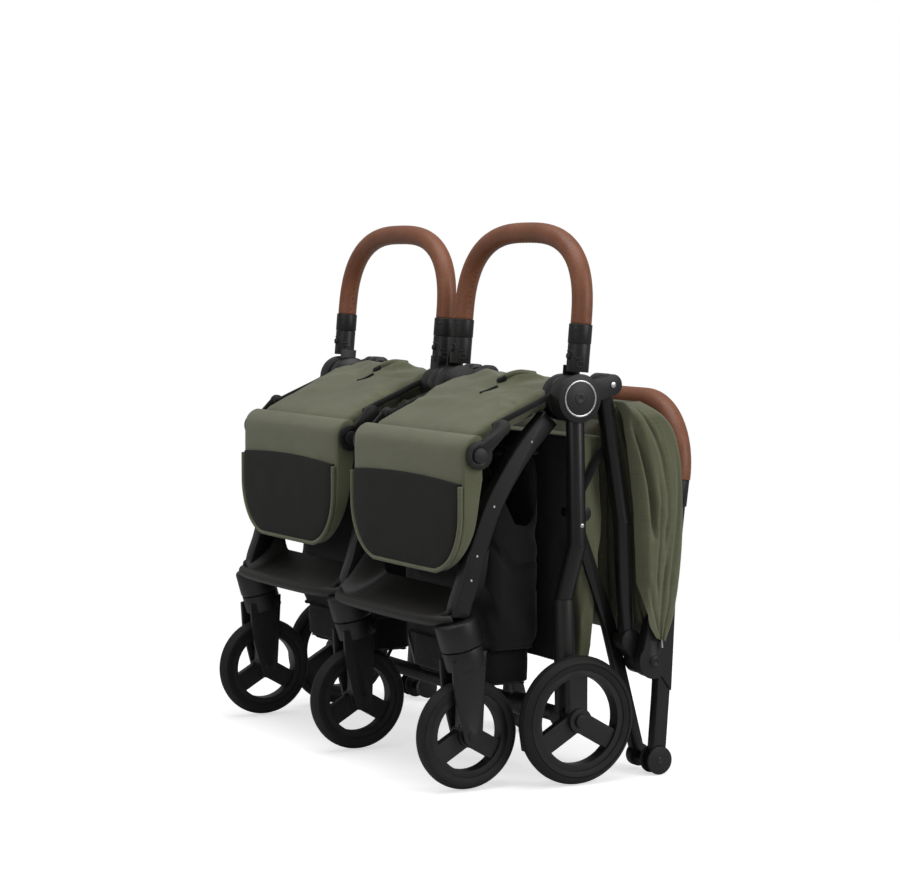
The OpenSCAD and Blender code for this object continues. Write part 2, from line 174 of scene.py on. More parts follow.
class Finish:
    def __init__(self, name, **constants):
        self.material = bpy.data.materials.new(name)
        self.material.use_nodes = True
        self.tree = self.material.node_tree
        self.shader = self.tree.nodes["Principled BSDF"]
        for socket, value in constants.items():
            self.shader.inputs[socket.replace("_", " ")].default_value = value

    def node(self, kind, settings=None, values=None, output=0):
        made = self.tree.nodes.new(kind)
        for key, value in (settings or {}).items():
            setattr(made, key, value)
        for key, value in (values or {}).items():
            self.feed(made.inputs[key], value)
        return Wire(self, made.outputs[output])

    def feed(self, socket, value):
        if isinstance(value, Wire):
            self.tree.links.new(value.socket, socket)
        else:
            socket.default_value = value

    def place(self, output="Object"):
        return self.node("ShaderNodeTexCoord", {}, {}, output)

    def stretched(self, place, scale):
        return self.node("ShaderNodeMapping", {}, {"Vector": place, "Scale": scale})

    def noise(self, place, scale, detail=3.0, roughness=0.5):
        values = {"Vector": place, "Scale": scale, "Detail": detail, "Roughness": roughness}
        return self.node("ShaderNodeTexNoise", {}, values)

    def cells(self, place, scale, feature="F1"):
        return self.node("ShaderNodeTexVoronoi", {"feature": feature}, {"Vector": place, "Scale": scale})

    def mix(self, factor, low, high):
        low, high = (end if isinstance(end, Wire) else (*end, 1) for end in (low, high))
        return self.node("ShaderNodeMix", {"data_type": "RGBA"}, {0: factor, 6: low, 7: high}, 2)

    def paint(self, colour=None, roughness=None, height=None, depth=0.0002, strength=1.0):
        if colour is not None:
            self.feed(self.shader.inputs["Base Color"], colour)
        if roughness is not None:
            self.feed(self.shader.inputs["Roughness"], roughness)
        if height is not None:
            bump = self.node("ShaderNodeBump", {}, {"Height": height, "Distance": depth, "Strength": strength})
            self.feed(self.shader.inputs["Normal"], bump)
        return self.material


def srgb(*channels):
    return tuple(((c / 255 + 0.055) / 1.055) ** 2.4 if c > 10 else c / 255 / 12.92 for c in channels)


# %% [markdown]
# The tubes are aluminium with a black powder coat: a fine orange peel, a satin gloss that varies a little, and faint
# dust. The moulded parts are glass-filled nylon with a spark-eroded grain, duller than the coat.

# %% Black finishes


def black_finish(name, dark, light, grain, depth, low_rough, high_rough):
    made = Finish(name, Specular_IOR_Level=0.4)
    here = made.place()
    patches = made.noise(here, 14.0)
    peel = made.noise(here, grain, 2.0)
    colour = made.mix((patches * 1.4 - 0.2) * 0.7 + peel * 0.3, srgb(*dark), srgb(*light))
    rough = low_rough + patches * (high_rough - low_rough)
    made.paint(colour, rough + peel * 0.06, peel, depth, 0.35)
    return made.material


powder_coat = black_finish("powder_coat", (14, 13, 14), (25, 24, 25), 900.0, 0.00012, 0.26, 0.38)
moulded = black_finish("moulded_nylon", (15, 14, 14), (27, 26, 25), 1700.0, 0.0002, 0.34, 0.5)
tray_nylon = black_finish("tray_nylon", (19, 18, 16), (31, 29, 27), 1500.0, 0.0003, 0.42, 0.56)
button_nylon = black_finish("button_nylon", (24, 24, 25), (36, 36, 36), 1300.0, 0.0002, 0.36, 0.5)

# %% [markdown]
# Rivets, screws and the hub ring are bright metal. A turned face shows very fine rings and a slightly uneven shine.

# %% Bright metal
bright = Finish("bright_metal", Metallic=1.0)
where = bright.place()
bright_metal = bright.paint(
    bright.mix(bright.noise(where, 60.0), srgb(176, 177, 178), srgb(216, 217, 218)),
    0.2 + bright.noise(where, 200.0) * 0.16,
    bright.noise(bright.stretched(where, (1, 8, 8)), 90.0),
    0.00002,
    0.1,
)

# %% [markdown]
# The tyres are foamed rubber: matt, with tiny pores and a little dust ground into the tread.

# %% Tyre rubber
rubber = Finish("tyre_rubber", Specular_IOR_Level=0.35)
where = rubber.place()
pores = rubber.cells(where, 900.0)
dust = rubber.noise(where, 30.0, 6.0, 0.65)
tread = rubber.mix(dust.clamp(0.45, 0.8), srgb(17, 16, 16), srgb(32, 31, 29))
tyre_rubber = rubber.paint(tread, 0.52 + dust * 0.22, pores + dust, 0.00025, 0.35)

# %% [markdown]
# The seat cloth is a heathered plain weave. Its threads follow the cloth, so the pattern reads the piece's own UV map,
# which is in metres. Warp and weft take turns on top, and each thread is dyed a little differently.

# %% Woven cloth


def woven(name, dark, light, pitch=0.0011, heather=0.6, bump=0.5, sheen=0.25):
    made = Finish(name, Sheen_Weight=sheen, Sheen_Roughness=0.5, Specular_IOR_Level=0.2)
    cloth = made.node("ShaderNodeUVMap", {"uv_map": "cloth"})
    split = made.node("ShaderNodeSeparateXYZ", {}, {0: cloth})
    across, along = split, Wire(made, split.socket.node.outputs[1])
    turns = 2 * math.pi / pitch
    over = (across * turns).sine() * (along * turns).sine()
    warp = made.noise(made.stretched(cloth, (900, 22, 1)), 1.0, 2.0)
    weft = made.noise(made.stretched(cloth, (22, 900, 1)), 1.0, 2.0)
    threads = (warp + weft) * 0.5
    worn = made.noise(cloth, 9.0, 4.0)
    tone = (threads - 0.5) * (1.9 * heather) + over * 0.1 + (worn - 0.5) * 0.5 + 0.5
    colour = made.mix(tone.clamp(0.05, 0.95), srgb(*dark), srgb(*light))
    made.paint(colour, 0.78 + worn * 0.16, over * 0.6 + threads, 0.0003, bump)
    return made.material


olive_cloth = woven("olive_weave", (80, 82, 62), (117, 119, 93))
# A darker copy of the olive weave: painted shade, for the canopy bags and backrests that lie behind other parts.
olive_painted_shade = woven("olive_weave_painted_shade", (72, 72, 56), (106, 105, 84))
charcoal_cloth = woven("charcoal_weave", (23, 22, 21), (38, 37, 35), heather=0.8, sheen=0.05)
black_cloth = woven("black_weave", (11, 11, 12), (26, 26, 27), pitch=0.0014, sheen=0.15)
webbing = woven("black_webbing", (15, 15, 16), (34, 34, 34), pitch=0.0022, bump=0.9, sheen=0.1)

# %% [markdown]
# The grips are wrapped in brown grained leather. Two sizes of cells make the pebbled grain, the creases between them
# are darker, and a broad uneven tone keeps the wrap from looking painted.

# %% Grained leather
hide = Finish("grained_leather", Specular_IOR_Level=0.4, Coat_Roughness=0.35)
where = hide.place()
pebbles = hide.cells(where, 620.0, "SMOOTH_F1")
fine = hide.cells(where, 1500.0)
tone = hide.noise(where, 16.0, 5.0, 0.6)
crease = (pebbles * 1.3 + fine * 0.35).clamp(0.15, 0.95)
skin = hide.mix(tone.clamp(0.3, 0.72), srgb(126, 76, 50), srgb(152, 97, 68))
grained_leather = hide.paint(
    hide.mix(crease * 0.5, skin, srgb(94, 53, 35)), 0.36 + tone * 0.14, 1 - crease, 0.0004, 0.4
)
print("finishes:", len(bpy.data.materials))

# %% [markdown]
# Most hard parts of the frame have the right shape already, but their edges are knife sharp. A copy of each is merged
# into one skin, its flat faces are joined, its edges get a small round, and it takes the part's place.

# %% Round the edges of a part


def alone(thing):
    bpy.ops.object.select_all(action="DESELECT")
    bpy.context.view_layer.objects.active = thing
    thing.select_set(True)
    return thing


def finish_piece(thing, material, body, slot, *nodes):
    thing.data.materials.clear()
    thing.data.materials.append(material)
    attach(thing, body)
    if nodes:
        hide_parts(*nodes)
    return thing


def body_of(node):
    return next(body for body, nodes in frame["record"]["behaviour"]["bodies"].items() if node in nodes)


def new_object(name, points, edges, faces):
    mesh = bpy.data.meshes.new(name)
    mesh.from_pydata(points, edges, faces)
    made = bpy.data.objects.new(name, mesh)
    scene.collection.objects.link(made)
    return alone(made)


def edit_all(thing):
    alone(thing)
    bpy.ops.object.mode_set(mode="EDIT")
    bpy.ops.mesh.select_all(action="SELECT")


def modify(thing, kind, **settings):
    """Adds a modifier with these settings and applies it."""
    alone(thing)
    modifier = thing.modifiers.new(kind.lower(), kind)
    for key, value in settings.items():
        setattr(modifier, key, value)
    bpy.ops.object.modifier_apply(modifier=modifier.name)


MERGE = 0.00002
FLAT = math.radians(0.6)
SHARP = math.radians(32)
SMOOTH = math.radians(34)


def rounded_copy(node, material, slot, edge=0.0012, segments=2):
    source = frame["nodes"][node]
    copy = bpy.data.objects.new(node + "_shaped", source.data.copy())
    scene.collection.objects.link(copy)
    edit_all(copy)
    bpy.ops.mesh.remove_doubles(threshold=MERGE)
    bpy.ops.mesh.dissolve_limited(angle_limit=FLAT)
    bpy.ops.object.mode_set(mode="OBJECT")
    modify(copy, "BEVEL", width=edge, segments=segments, limit_method="ANGLE", angle_limit=SHARP, use_clamp_overlap=True)
    bpy.ops.object.shade_smooth_by_angle(angle=SMOOTH)
    return finish_piece(copy, material, body_of(node), slot, node)


# %% [markdown]
# The hubs, legs, sockets, pushers and braces all get this treatment, in the coat or nylon that the real part has.

# %% Hard parts with rounded edges
for node, material, slot, edge in [
    ("hub_housings", moulded, "plastic_black", 0.0022),
    ("hub_caps", button_nylon, "plastic_black", 0.0005),
    ("rear_legs", powder_coat, "frame_black", 0.0006),
    ("leg_sleeves", moulded, "plastic_black", 0.0014),
    ("rear_axle", moulded, "frame_black", 0.0008),
    ("front_legs", powder_coat, "frame_black", 0.0045),
    ("caster_sockets", moulded, "plastic_black", 0.0035),
    ("fork_right", moulded, "plastic_black", 0.0016),
    ("fork_middle", moulded, "plastic_black", 0.0016),
    ("fork_left", moulded, "plastic_black", 0.0016),
    ("lower_pushers", powder_coat, "frame_black", 0.0008),
    ("pusher_ends", moulded, "plastic_black", 0.003),
    ("upper_pushers", powder_coat, "frame_black", 0.0028),
    ("joint_housings", moulded, "plastic_black", 0.001),
    ("pusher_feet", moulded, "plastic_black", 0.001),
    ("handle_sleeves", moulded, "plastic_black", 0.001),
    ("braces", powder_coat, "frame_black", 0.002),
    ("seat_hinges", moulded, "plastic_black", 0.0016),
    ("bumper_sockets", moulded, "plastic_black", 0.0012),
    ("bumper_collars_right", moulded, "plastic_black", 0.001),
    ("bumper_collars_left", moulded, "plastic_black", 0.001),
    ("brake_pedal", moulded, "plastic_black", 0.002),
]:
    rounded_copy(node, material, slot, edge)

for node, material, slot in (
    [(f"rest_button_{i}", button_nylon, "buttons") for i in range(1, 5)]
    + [(f"bumper_button_{i}", button_nylon, "buttons") for i in range(1, 5)]
    + [("fold_button", button_nylon, "buttons")]
    + [("frame_screws", bright_metal, "bright_metal")]
):
    rounded_copy(node, material, slot, 0.0005, 2)

rounded_copy("handlebar", grained_leather, "leather_grip", 0.0015, 3)

# %% [markdown]
# A wheel's tyre is a round profile spun about its axle, with four shallow grooves pressed into the tread. The rim keeps
# its three wide spokes and is a rounded copy. The bright rings round the hub caps are turned parts, so they are spun too.

# %% Wheels
SPIN_STEPS = 96


def spun(name, profile, centre):
    """Spins a closed outline of (x, radius) points about the axle through centre."""
    points = [(centre.x + x, centre.y, centre.z + r) for x, r in profile]
    made = new_object(name, points, [(i, (i + 1) % len(points)) for i in range(len(points))], [])
    edit_all(made)
    bpy.ops.mesh.spin(steps=SPIN_STEPS, angle=2 * math.pi, center=centre, axis=(1, 0, 0))
    bpy.ops.mesh.select_all(action="SELECT")
    bpy.ops.mesh.remove_doubles(threshold=0.00003)
    bpy.ops.mesh.normals_make_consistent(inside=False)
    bpy.ops.object.mode_set(mode="OBJECT")
    bpy.ops.object.shade_smooth_by_angle(angle=math.radians(40))
    return made


TREAD_TURN = math.radians(66)
GROOVES = (0.0035, 0.0085)


def tyre_profile(outer, inner, width):
    """The outline from one side of the tread to the other, then back through the bead at the rim."""
    half = width / 2
    round_r = width * 0.62
    points = []
    for i in range(25):
        turn = TREAD_TURN * (i / 12 - 1)
        x = half * math.sin(turn) / math.sin(TREAD_TURN)
        r = outer - round_r + math.cos(turn) * round_r
        groove = 0.0009 * sum(math.exp(-(((abs(x) - g) / 0.0008) ** 2)) for g in GROOVES)
        points.append((x, r - groove))
    bead = [(0, 0.0105), (0.0012, 0.0095), (0.0012, 0.0082), (0, 0.0072), (0.0006, 0.003), (0.002, 0)]
    wall = [(half - x, inner + r) for x, r in bead]
    return points + wall + [(-x, r) for x, r in wall[::-1]]


def wheel(tyre, rim):
    low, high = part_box(tyre)
    centre = (low + high) / 2
    outer, width = (high.z - low.z) / 2, high.x - low.x
    rim_low, rim_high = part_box(rim)
    inner = (rim_high.z - rim_low.z) / 2
    made = spun(tyre + "_shaped", tyre_profile(outer, inner, width), centre)
    finish_piece(made, tyre_rubber, body_of(tyre), "tyres", tyre)
    rounded_copy(rim, moulded, "rims", 0.0018, 3)


ring_low, ring_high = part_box("hub_rings")
RING_R = (ring_high.z - ring_low.z) / 2
RING_OUTLINE = [(0.002, 0), (0.0005, 0), (0, 0.0006), (0, 0.0019), (0.0005, 0.0025), (0.002, 0.0025)]
for side, s in SIDES.items():
    outline = [(s * (ring_high.x - x), RING_R - r) for x, r in RING_OUTLINE]
    made = spun(f"hub_ring_{side}", outline, at(0, *HUB))
    finish_piece(made, bright_metal, "rear_frame", "bright_metal", *(["hub_rings"] if side == "right" else []))
for side in SIDES:
    wheel(f"rear_tyre_{side}", f"rear_rim_{side}")
for side in ("right", "middle", "left"):
    wheel(f"front_tyre_{side}", f"front_rim_{side}")

# %% [markdown]
# Soft pieces start as grids whose points are worked out row by row, with a UV map in metres for the weave. A closed
# grid wraps round and its ends are gathered to a point, so it has no holes.

# %% Grids of cloth


def cloth_grid(name, columns, rows, point, closed=False, capped=False):
    """A grid of point(u, v) for u and v from 0 to 1. closed joins the last column to the first one, capped fills its ends."""
    wide = columns if closed else columns + 1
    points = [point(i / columns, j / rows) for j in range(rows + 1) for i in range(wide)]
    faces = []
    for j in range(rows):
        for i in range(columns):
            a, b = j * wide + i, j * wide + (i + 1) % wide
            faces.append((a, b, b + wide, a + wide))
    made = new_object(name, points, [], faces)
    around = [0.0]
    middle = points[wide * (rows // 2) : wide * (rows // 2 + 1)]
    for i in range(columns):
        around.append(around[-1] + (middle[(i + 1) % wide] - middle[i]).length)
    along = [0.0]
    for j in range(rows):
        step = points[(j + 1) * wide + wide // 3] - points[j * wide + wide // 3]
        along.append(along[-1] + step.length)
    layer = made.data.uv_layers.new(name="cloth")
    n = 0
    for j in range(rows):
        for i in range(columns):
            for u, v in ((i, j), (i + 1, j), (i + 1, j + 1), (i, j + 1)):
                layer.data[n].uv = (around[u], along[v])
                n += 1
    edit_all(made)
    bpy.ops.mesh.remove_doubles(threshold=0.00005)
    if capped:
        bpy.ops.mesh.fill_holes(sides=0)
    bpy.ops.mesh.normals_make_consistent(inside=False)
    bpy.ops.object.mode_set(mode="OBJECT")
    bpy.ops.object.shade_smooth()
    return made


def wrinkle(place, seed, scale, amount):
    """A fold height at a place: ridged noise, sharp at the crests as in real cloth."""
    value = noise.noise(Vector((place[0] * scale[0] + seed, place[1] * scale[1], place[2] * scale[2])))
    return amount * (1 - 2 * abs(value))


def map_flat(made, across, along):
    """A UV map in metres for a piece without one, from two directions."""
    mesh = made.data
    layer = mesh.uv_layers.get("cloth") or mesh.uv_layers.new(name="cloth")
    across, along = Vector(across), Vector(along)
    for loop in mesh.loops:
        co = mesh.vertices[loop.vertex_index].co
        layer.data[loop.index].uv = (co.dot(across), co.dot(along))


def curve_points(points, count):
    """Places evenly spread over a smooth line through the points."""
    padded = [points[0] * 2 - points[1], *points, points[-1] * 2 - points[-2]]
    fine = []
    for i in range(1, len(padded) - 2):
        a, b, c, d = padded[i - 1 : i + 3]
        square, cube = 2 * a - 5 * b + 4 * c - d, 3 * b - a - 3 * c + d
        for k in range(12):
            t = k / 12
            fine.append(0.5 * (2 * b + (c - a) * t + square * t * t + cube * t**3))
    fine.append(points[-1])
    lengths = [0.0]
    for a, b in zip(fine, fine[1:]):
        lengths.append(lengths[-1] + (b - a).length)
    result, k = [], 0
    for i in range(count):
        want = lengths[-1] * i / (count - 1)
        while k < len(fine) - 2 and lengths[k + 1] < want:
            k += 1
        share = (want - lengths[k]) / max(lengths[k + 1] - lengths[k], 1e-9)
        result.append(fine[k].lerp(fine[k + 1], share))
    return result


def tube_along(name, path, radius, sides, ends=(0.0, 0.9)):
    """A closed tube along a path. ends says how much of the radius its first rings and its last ones keep."""
    up = Vector((0, 1, 0))

    def ring(u, v):
        i = min(int(round(v * (len(path) - 1))), len(path) - 1)
        way = (path[min(i + 1, len(path) - 1)] - path[max(i - 1, 0)]).normalized()
        side = way.cross(up).normalized()
        over = side.cross(way)
        near_end = min(i, len(path) - 1 - i)
        r = radius * (ends[near_end] if near_end < len(ends) else 1.0)
        return path[i] + (side * math.cos(2 * math.pi * u) + over * math.sin(2 * math.pi * u)) * r

    return cloth_grid(name, sides, len(path) - 1, ring, closed=True, capped=ends[0] > 0)


def ends_closer(path, step):
    """Two extra points at each end, so that a tube's ends can be rounded off."""
    first = (path[1] - path[0]).normalized() * step
    last = (path[-2] - path[-1]).normalized() * step
    head = [path[0], path[0] + first * 0.05, path[0] + first]
    return [*head, *path[1:-1], path[-1] + last, path[-1] + last * 0.05, path[-1]]


def cord_line(points, count, step=0.002):
    """A smooth line for a tube through the points."""
    return ends_closer(curve_points(points, count), step)


# %% [markdown]
# Padding looks soft because cloth is blown up by the foam in it. A remeshed copy is inflated by a short cloth
# simulation, and no point may move further than a cap, so the pad keeps to its place.

# %% Blow up a pad
SWELL_CLOTH = {
    "quality": 4, "mass": 0.2, "tension_stiffness": 12, "compression_stiffness": 4, "shear_stiffness": 4,
    "bending_stiffness": 0.3, "use_pressure": True, "uniform_pressure_force": 4.0,
}
SWELL_STEPS = 20


def swell(made, voxel, cap, hold=None):
    modify(made, "REMESH", mode="VOXEL", voxel_size=voxel)
    start = [v.co.copy() for v in made.data.vertices]
    cloth = made.modifiers.new("swell", "CLOTH")
    for key, value in SWELL_CLOTH.items():
        setattr(cloth.settings, key, value)
    cloth.settings.effector_weights.gravity = 0
    if hold:
        group = made.vertex_groups.new(name="held")
        group.add([v.index for v in made.data.vertices if hold(v.co)], 1.0, "REPLACE")
        cloth.settings.vertex_group_mass = "held"
    cloth.point_cache.frame_start = 1
    cloth.point_cache.frame_end = SWELL_STEPS
    for step in range(1, SWELL_STEPS + 1):
        scene.frame_set(step)
    bpy.ops.object.modifier_apply(modifier="swell")
    scene.frame_set(1)
    for v, first in zip(made.data.vertices, start):
        move = v.co - first
        if move.length > cap:
            v.co = first + move * (cap / move.length)
    modify(made, "SUBSURF", levels=1, render_levels=1)
    bpy.ops.object.shade_smooth()
    return made


# %% [markdown]
# A grip is a steel hoop wrapped in leather. Its top is gently crowned and its shoulders are tighter, so its line is a
# superellipse on two straight legs. The leather's edges meet in a row of stitches on the inside of the hoop.

# %% Leather grips
CROWN_POWER = 2.7
CROWN_HEIGHT = 124
LEAN = math.radians(5)


def hoop_line(low, high, grip_r, count=81):
    """The centre line of a hoop that fills the box from low to high."""
    half = (high.x - low.x) / 2 - grip_r
    mid_x = (low.x + high.x) / 2
    crown = CROWN_HEIGHT / 1000
    height = (high.z - low.z) / math.cos(LEAN) - grip_r
    foot_y = low.y + grip_r
    line = []
    for i in range(count):
        turn = math.pi * i / (count - 1)
        c, n = math.cos(turn), math.sin(turn)
        x = -math.copysign(abs(c) ** (2 / CROWN_POWER), c) * half
        line.append((x, height - crown + abs(n) ** (2 / CROWN_POWER) * crown))
    legs = [(line[0][0], 0.0), (line[0][0], (height - crown) / 2)]
    line = [*legs, *line, *[(-x, t) for x, t in legs[::-1]]]
    return [Vector((mid_x + x, foot_y + t * math.sin(LEAN), low.z + t * math.cos(LEAN))) for x, t in line]


GRIP_R = 0.0143
STITCH = 0.0025
for side in SIDES:
    node = f"bumper_grip_{side}"
    low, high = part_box(node)
    line = curve_points(hoop_line(low, high, GRIP_R), 110)
    made = tube_along(node + "_wrap", ends_closer(line, 0.002), GRIP_R, 32)
    finish_piece(made, grained_leather, body_of(node), "leather_grip", node)
    stitches = []
    for i in range(2, 108, 2):
        way = (line[i + 1] - line[i]).normalized()
        inward = way.cross(Vector((0, 1, 0))).normalized() * -1
        if inward.dot(Vector(((low.x + high.x) / 2, line[i].y, low.z)) - line[i]) < 0:
            inward = -inward
        seat = line[i] + inward * (GRIP_R - 0.0002)
        path = ends_closer([seat, seat + way * STITCH], 0.0008)
        stitches.append(tube_along(f"stitch_{side}_{i}", path, 0.0005, 6))
    bpy.ops.object.select_all(action="DESELECT")
    for stitch in stitches:
        stitch.select_set(True)
    bpy.context.view_layer.objects.active = stitches[0]
    bpy.ops.object.join()
    stitches[0].name = f"bumper_stitches_{side}"
    finish_piece(stitches[0], webbing, body_of(node), "leather_grip")
print("grips done")

# %% [markdown]
# A leg rest is a padded flap that hangs from its hinge in front of the seat. Olive cloth covers its front above a
# curved seam, its sides and its back. A charcoal panel is sewn on below the seam, with piping round its lower edge.

# %% Leg rests
REST_W = 324
REST_LOW = 291
REST_TOP = 478
REST_CORNER = 80
SEAM_Z = 420
FRONT_Y = -20


def rest_half_width(z):
    if z >= REST_LOW + REST_CORNER:
        return REST_W / 2
    drop = REST_LOW + REST_CORNER - z
    return REST_W / 2 - REST_CORNER + math.sqrt(max(REST_CORNER**2 - drop**2, 0))


def seam_height(share):
    """The seam is a shallow arch, a little lower at its ends."""
    return SEAM_Z - 6 * share * share


def squircle(turn, power):
    """A rounded square's point at an angle: near 1 or -1 on its sides."""
    c, n = math.cos(turn), math.sin(turn)
    return math.copysign(abs(c) ** power, c), math.copysign(abs(n) ** power, n)


for side, s in SIDES.items():
    x_mid = s * 190.0
    body = f"leg_rest_{side}"

    def flap(u, v, x_mid=x_mid, s=s):
        """One loop round the flap per row, from its lower edge to its top edge, which is rounded over."""
        z = REST_LOW + (REST_TOP - REST_LOW) * (1 - math.cos(math.pi * v)) / 2
        share, depth = squircle(u * 2 * math.pi, 0.16)
        thick = 9 + 24 * min(1, max(0, (z - 300) / 120)) ** 0.8
        edge = min((z - REST_LOW) / 10, (REST_TOP - z) / 17)
        close = math.sqrt(max(0.0, 1 - max(0.0, 1 - edge) ** 2))
        half = rest_half_width(z) - 2.5 * (1 - close)
        mid_y = FRONT_Y + thick / 2 + 1
        lean_back = 7 * max(0.0, (z - 450) / 28) ** 2
        y = mid_y + lean_back + depth * thick / 2 * close
        puff = wrinkle((x_mid + share * half, z, depth), 5.7 * s, (0.016, 0.02, 0.2), 0.9) * close
        crown = 2.2 * (1 - share**4) * close if depth < 0 else 0.0
        return at(x_mid + half * share, y + puff * 0.7 - crown, z)

    made = cloth_grid(f"rest_cover_{side}", 120, 72, flap, closed=True)
    finish_piece(made, olive_cloth, body, "olive_fabric", f"leg_rest_{side}")

    def panel(u, v, x_mid=x_mid):
        """The charcoal panel: a thin pillow on the front, from the piping up to the seam."""
        share = math.cos(math.pi * (1 - min(u * 2, 2 - u * 2)))
        front = u < 0.5
        low = REST_LOW + 3
        z = low + (seam_height(share) - low) * (1 - math.cos(math.pi * v)) / 2
        half = rest_half_width(max(z - 2, REST_LOW + 0.5)) - 5
        edge = min((z - low) / 8, (seam_height(share) - z) / 3, half * (1 - abs(share)) / 7)
        rise = math.sqrt(max(0.0, 1 - max(0.0, 1 - edge) ** 2))
        broad = 2.6 * math.sin(math.pi * min(max((z - low) / (SEAM_Z - low), 0), 1)) * (1 - share**4)
        fold = wrinkle((x_mid + share * half, z, 0), 8.1, (0.012, 0.016, 0), 0.7) * rise
        y = FRONT_Y - 1.0 - (2.0 * rise + broad + fold if front else -3.0) + 3.0 * abs(share) ** 24
        return at(x_mid + half * share, y, z)

    made = cloth_grid(f"rest_panel_{side}", 96, 56, panel, closed=True)
    finish_piece(made, charcoal_cloth, body, "black_fabric")

    heights = [REST_LOW + (SEAM_Z - 9 - REST_LOW) * (i / 15) ** 1.6 for i in range(16)]
    left_edge, right_edge = (
        [at(x_mid + way * (rest_half_width(z) - 3.5), FRONT_Y - 0.5, z + 1.5 * (1 - i / 15)) for i, z in enumerate(heights)]
        for way in (-1, 1)
    )
    made = tube_along(f"rest_piping_{side}", cord_line(left_edge[::-1] + right_edge, 90), 0.0034, 12)
    finish_piece(made, olive_cloth, body, "olive_fabric")
print("leg rests done")

# %% [markdown]
# A seat is a thin foam pad that slopes up from the flap to the hubs when the stroller is folded, so its cloth is loose
# and creased. Its side outline is swept across, blown up, and given creases. A loose fold lies near its back, with a
# black tube under its lip as a painted shadow; a crotch strap comes out of it, and black binding runs along both sides.

# %% Seats
SEAT_SIDE = [
    (14, 462), (2, 468), (6, 477), (30, 488), (57, 500), (95, 518), (130, 533), (176, 545),
    (176, 522), (120, 508), (64, 484), (40, 468),
]


def sweep(name, outline, x0, x1, steps):
    """A solid with the same side outline all the way from x0 to x1."""
    wide = len(outline)
    points = [at(x0 + (x1 - x0) * i / steps, y, z) for i in range(steps + 1) for y, z in outline]
    faces = [
        (j * wide + i, j * wide + (i + 1) % wide, (j + 1) * wide + (i + 1) % wide, (j + 1) * wide + i)
        for j in range(steps)
        for i in range(wide)
    ]
    faces += [tuple(range(wide))[::-1], tuple(steps * wide + i for i in range(wide))]
    made = new_object(name, points, [], faces)
    edit_all(made)
    bpy.ops.mesh.normals_make_consistent(inside=False)
    bpy.ops.object.mode_set(mode="OBJECT")
    return made


def ridge(x, y, start, end, width, height):
    """How high a fold is at a place: highest on the line from start to end."""
    line = Vector(end) - Vector(start)
    step = (Vector((x, y)) - Vector(start)).dot(line) / line.length_squared
    along = min(max(step, 0.0), 1.0)
    away = (Vector((x, y)) - Vector(start) - line * along).length
    return height * math.exp(-((away / width) ** 2)) * math.sin(math.pi * min(max(along * 0.8 + 0.15, 0), 1))


SEAT_FOLDS = [  # start, end, width and height of each fold, as x, y in mm seen from above
    ((206, 138), (272, 172), 10, 9), ((192, 140), (96, 152), 16, 8), ((196, 108), (150, 122), 9, -4),
    ((60, 92), (150, 110), 12, 3), ((325, 62), (240, 96), 14, 4), ((316, 128), (216, 118), 9, -6), ((322, 104), (246, 108), 12, 4),
    ((70, 58), (190, 72), 14, 3.0), ((130, 146), (60, 162), 9, 4), ((262, 50), (318, 40), 14, 3.0),
    ((150, 140), (100, 128), 8, -3), ((222, 150), (130, 166), 9, 4),
]
BINDING = [(34, 489), (57, 499), (95, 515), (130, 530), (168, 539)]  # y, z
STRAP = [(198, 94, -1.2), (201, 102, -0.9), (204, 110, -0.9), (207, 118, -1.2)]  # x, y, height over the cloth
ROLL = [(190, 132, -3), (204, 134, -1), (222, 144, -1.5), (244, 156, -3.5)]
# Places for a black tube under the loose fold's lip: a painted shadow.
FOLD_SHADOW = [(193, 127, -2), (200, 128, -2), (208, 131, -2)]
NEAR = 4


def on_seat(seat, places):
    """Places over a seat's cloth, so that a fitting lies on it."""
    over = []
    for x, y, above in places:
        close = (v.co.z for v in seat.data.vertices if abs(v.co.x * 1000 - x) < NEAR and abs(v.co.y * 1000 + MID_Y - y) < NEAR)
        over.append(at(x, y, max(close) * 1000 + above))
    return over


